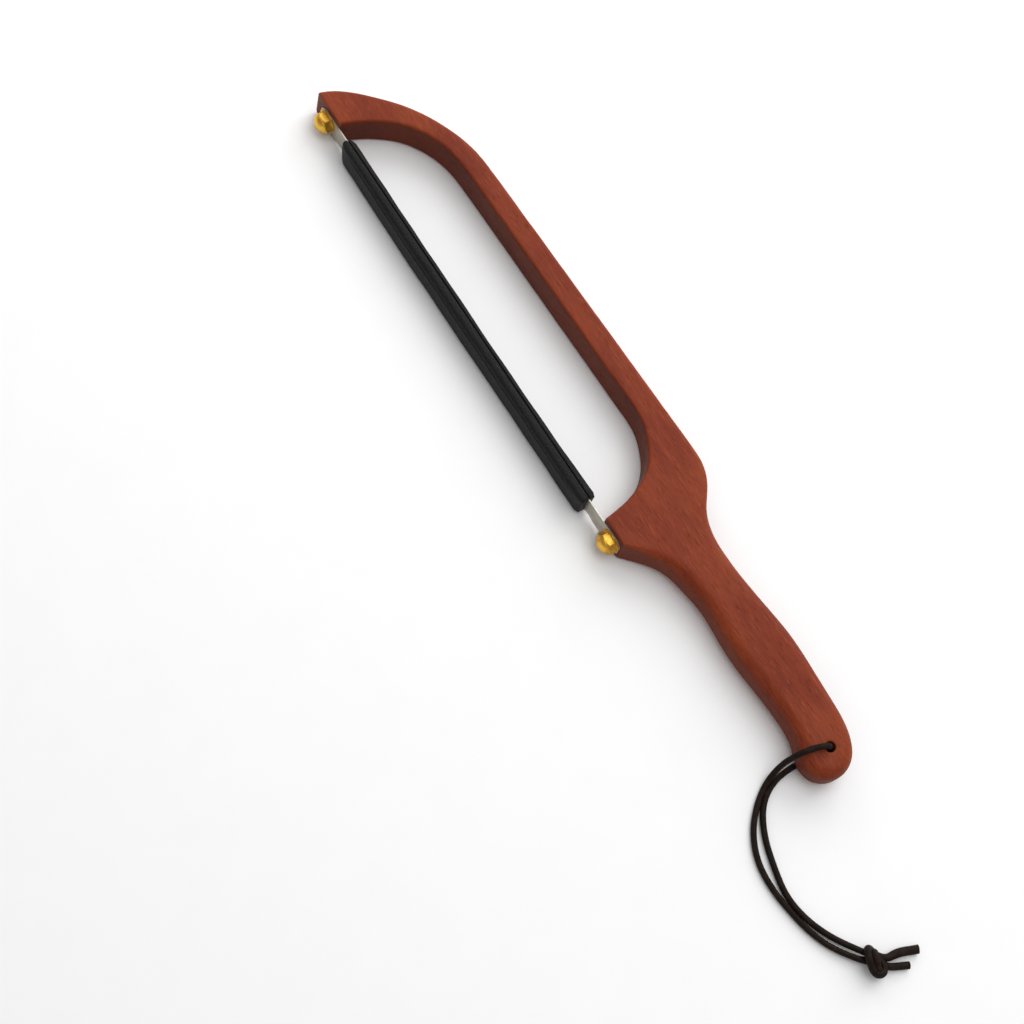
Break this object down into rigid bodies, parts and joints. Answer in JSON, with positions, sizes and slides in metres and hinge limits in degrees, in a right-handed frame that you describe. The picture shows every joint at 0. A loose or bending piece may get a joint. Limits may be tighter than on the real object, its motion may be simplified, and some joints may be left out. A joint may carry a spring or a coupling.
{
  "type": "bow bread knife",
  "caption": "Fiddle-bow bread knife: flat wooden bow with a carved grip, thin scalloped blade across its horns, slip-on blade guard, brass cap nuts and a knotted lanyard.",
  "frame": {"origin": "on the flat back face, on the grip's centre line where the grip meets the bow", "axes": "+X along the blade towards the handle's butt, +Y from the blade towards the arm, +Z from the back face to the front face"},
  "size_m": [0.4833, 0.0831, 0.0218],
  "materials": {
    "wood": "oiled, satin",
    "blade_steel": "brushed along the blade",
    "stud_steel": "plain",
    "guard_leather": "matte, grained",
    "brass": "polished",
    "cord": "waxed, round"
  },
  "bodies": {
    "root": {"bow_frame": "wood", "saw_blade": "blade_steel", "front_stud": "stud_steel", "rear_stud": "stud_steel", "front_washer": "brass", "rear_washer": "brass", "lanyard_front_strand": "cord", "lanyard_back_strand": "cord", "lanyard_knot": "cord"},
    "guard": {"blade_guard": "guard_leather"},
    "front_nut": {"front_cap_nut": "brass"},
    "rear_nut": {"rear_cap_nut": "brass"}
  },
  "joints": [
    {"name": "guard_slide", "type": "slide", "parent": "root", "child": "guard", "axis": [0, 0, -1], "range_m": [0, 0.022]},
    {"name": "front_nut_turn", "type": "hinge", "parent": "root", "child": "front_nut", "pos_m": [-0.2565, -0.0303, 0.0077], "axis": [0, -1, 0], "continuous": true},
    {"name": "rear_nut_turn", "type": "hinge", "parent": "root", "child": "rear_nut", "pos_m": [-0.0105, -0.0303, 0.0077], "axis": [0, -1, 0], "continuous": true}
  ]
}
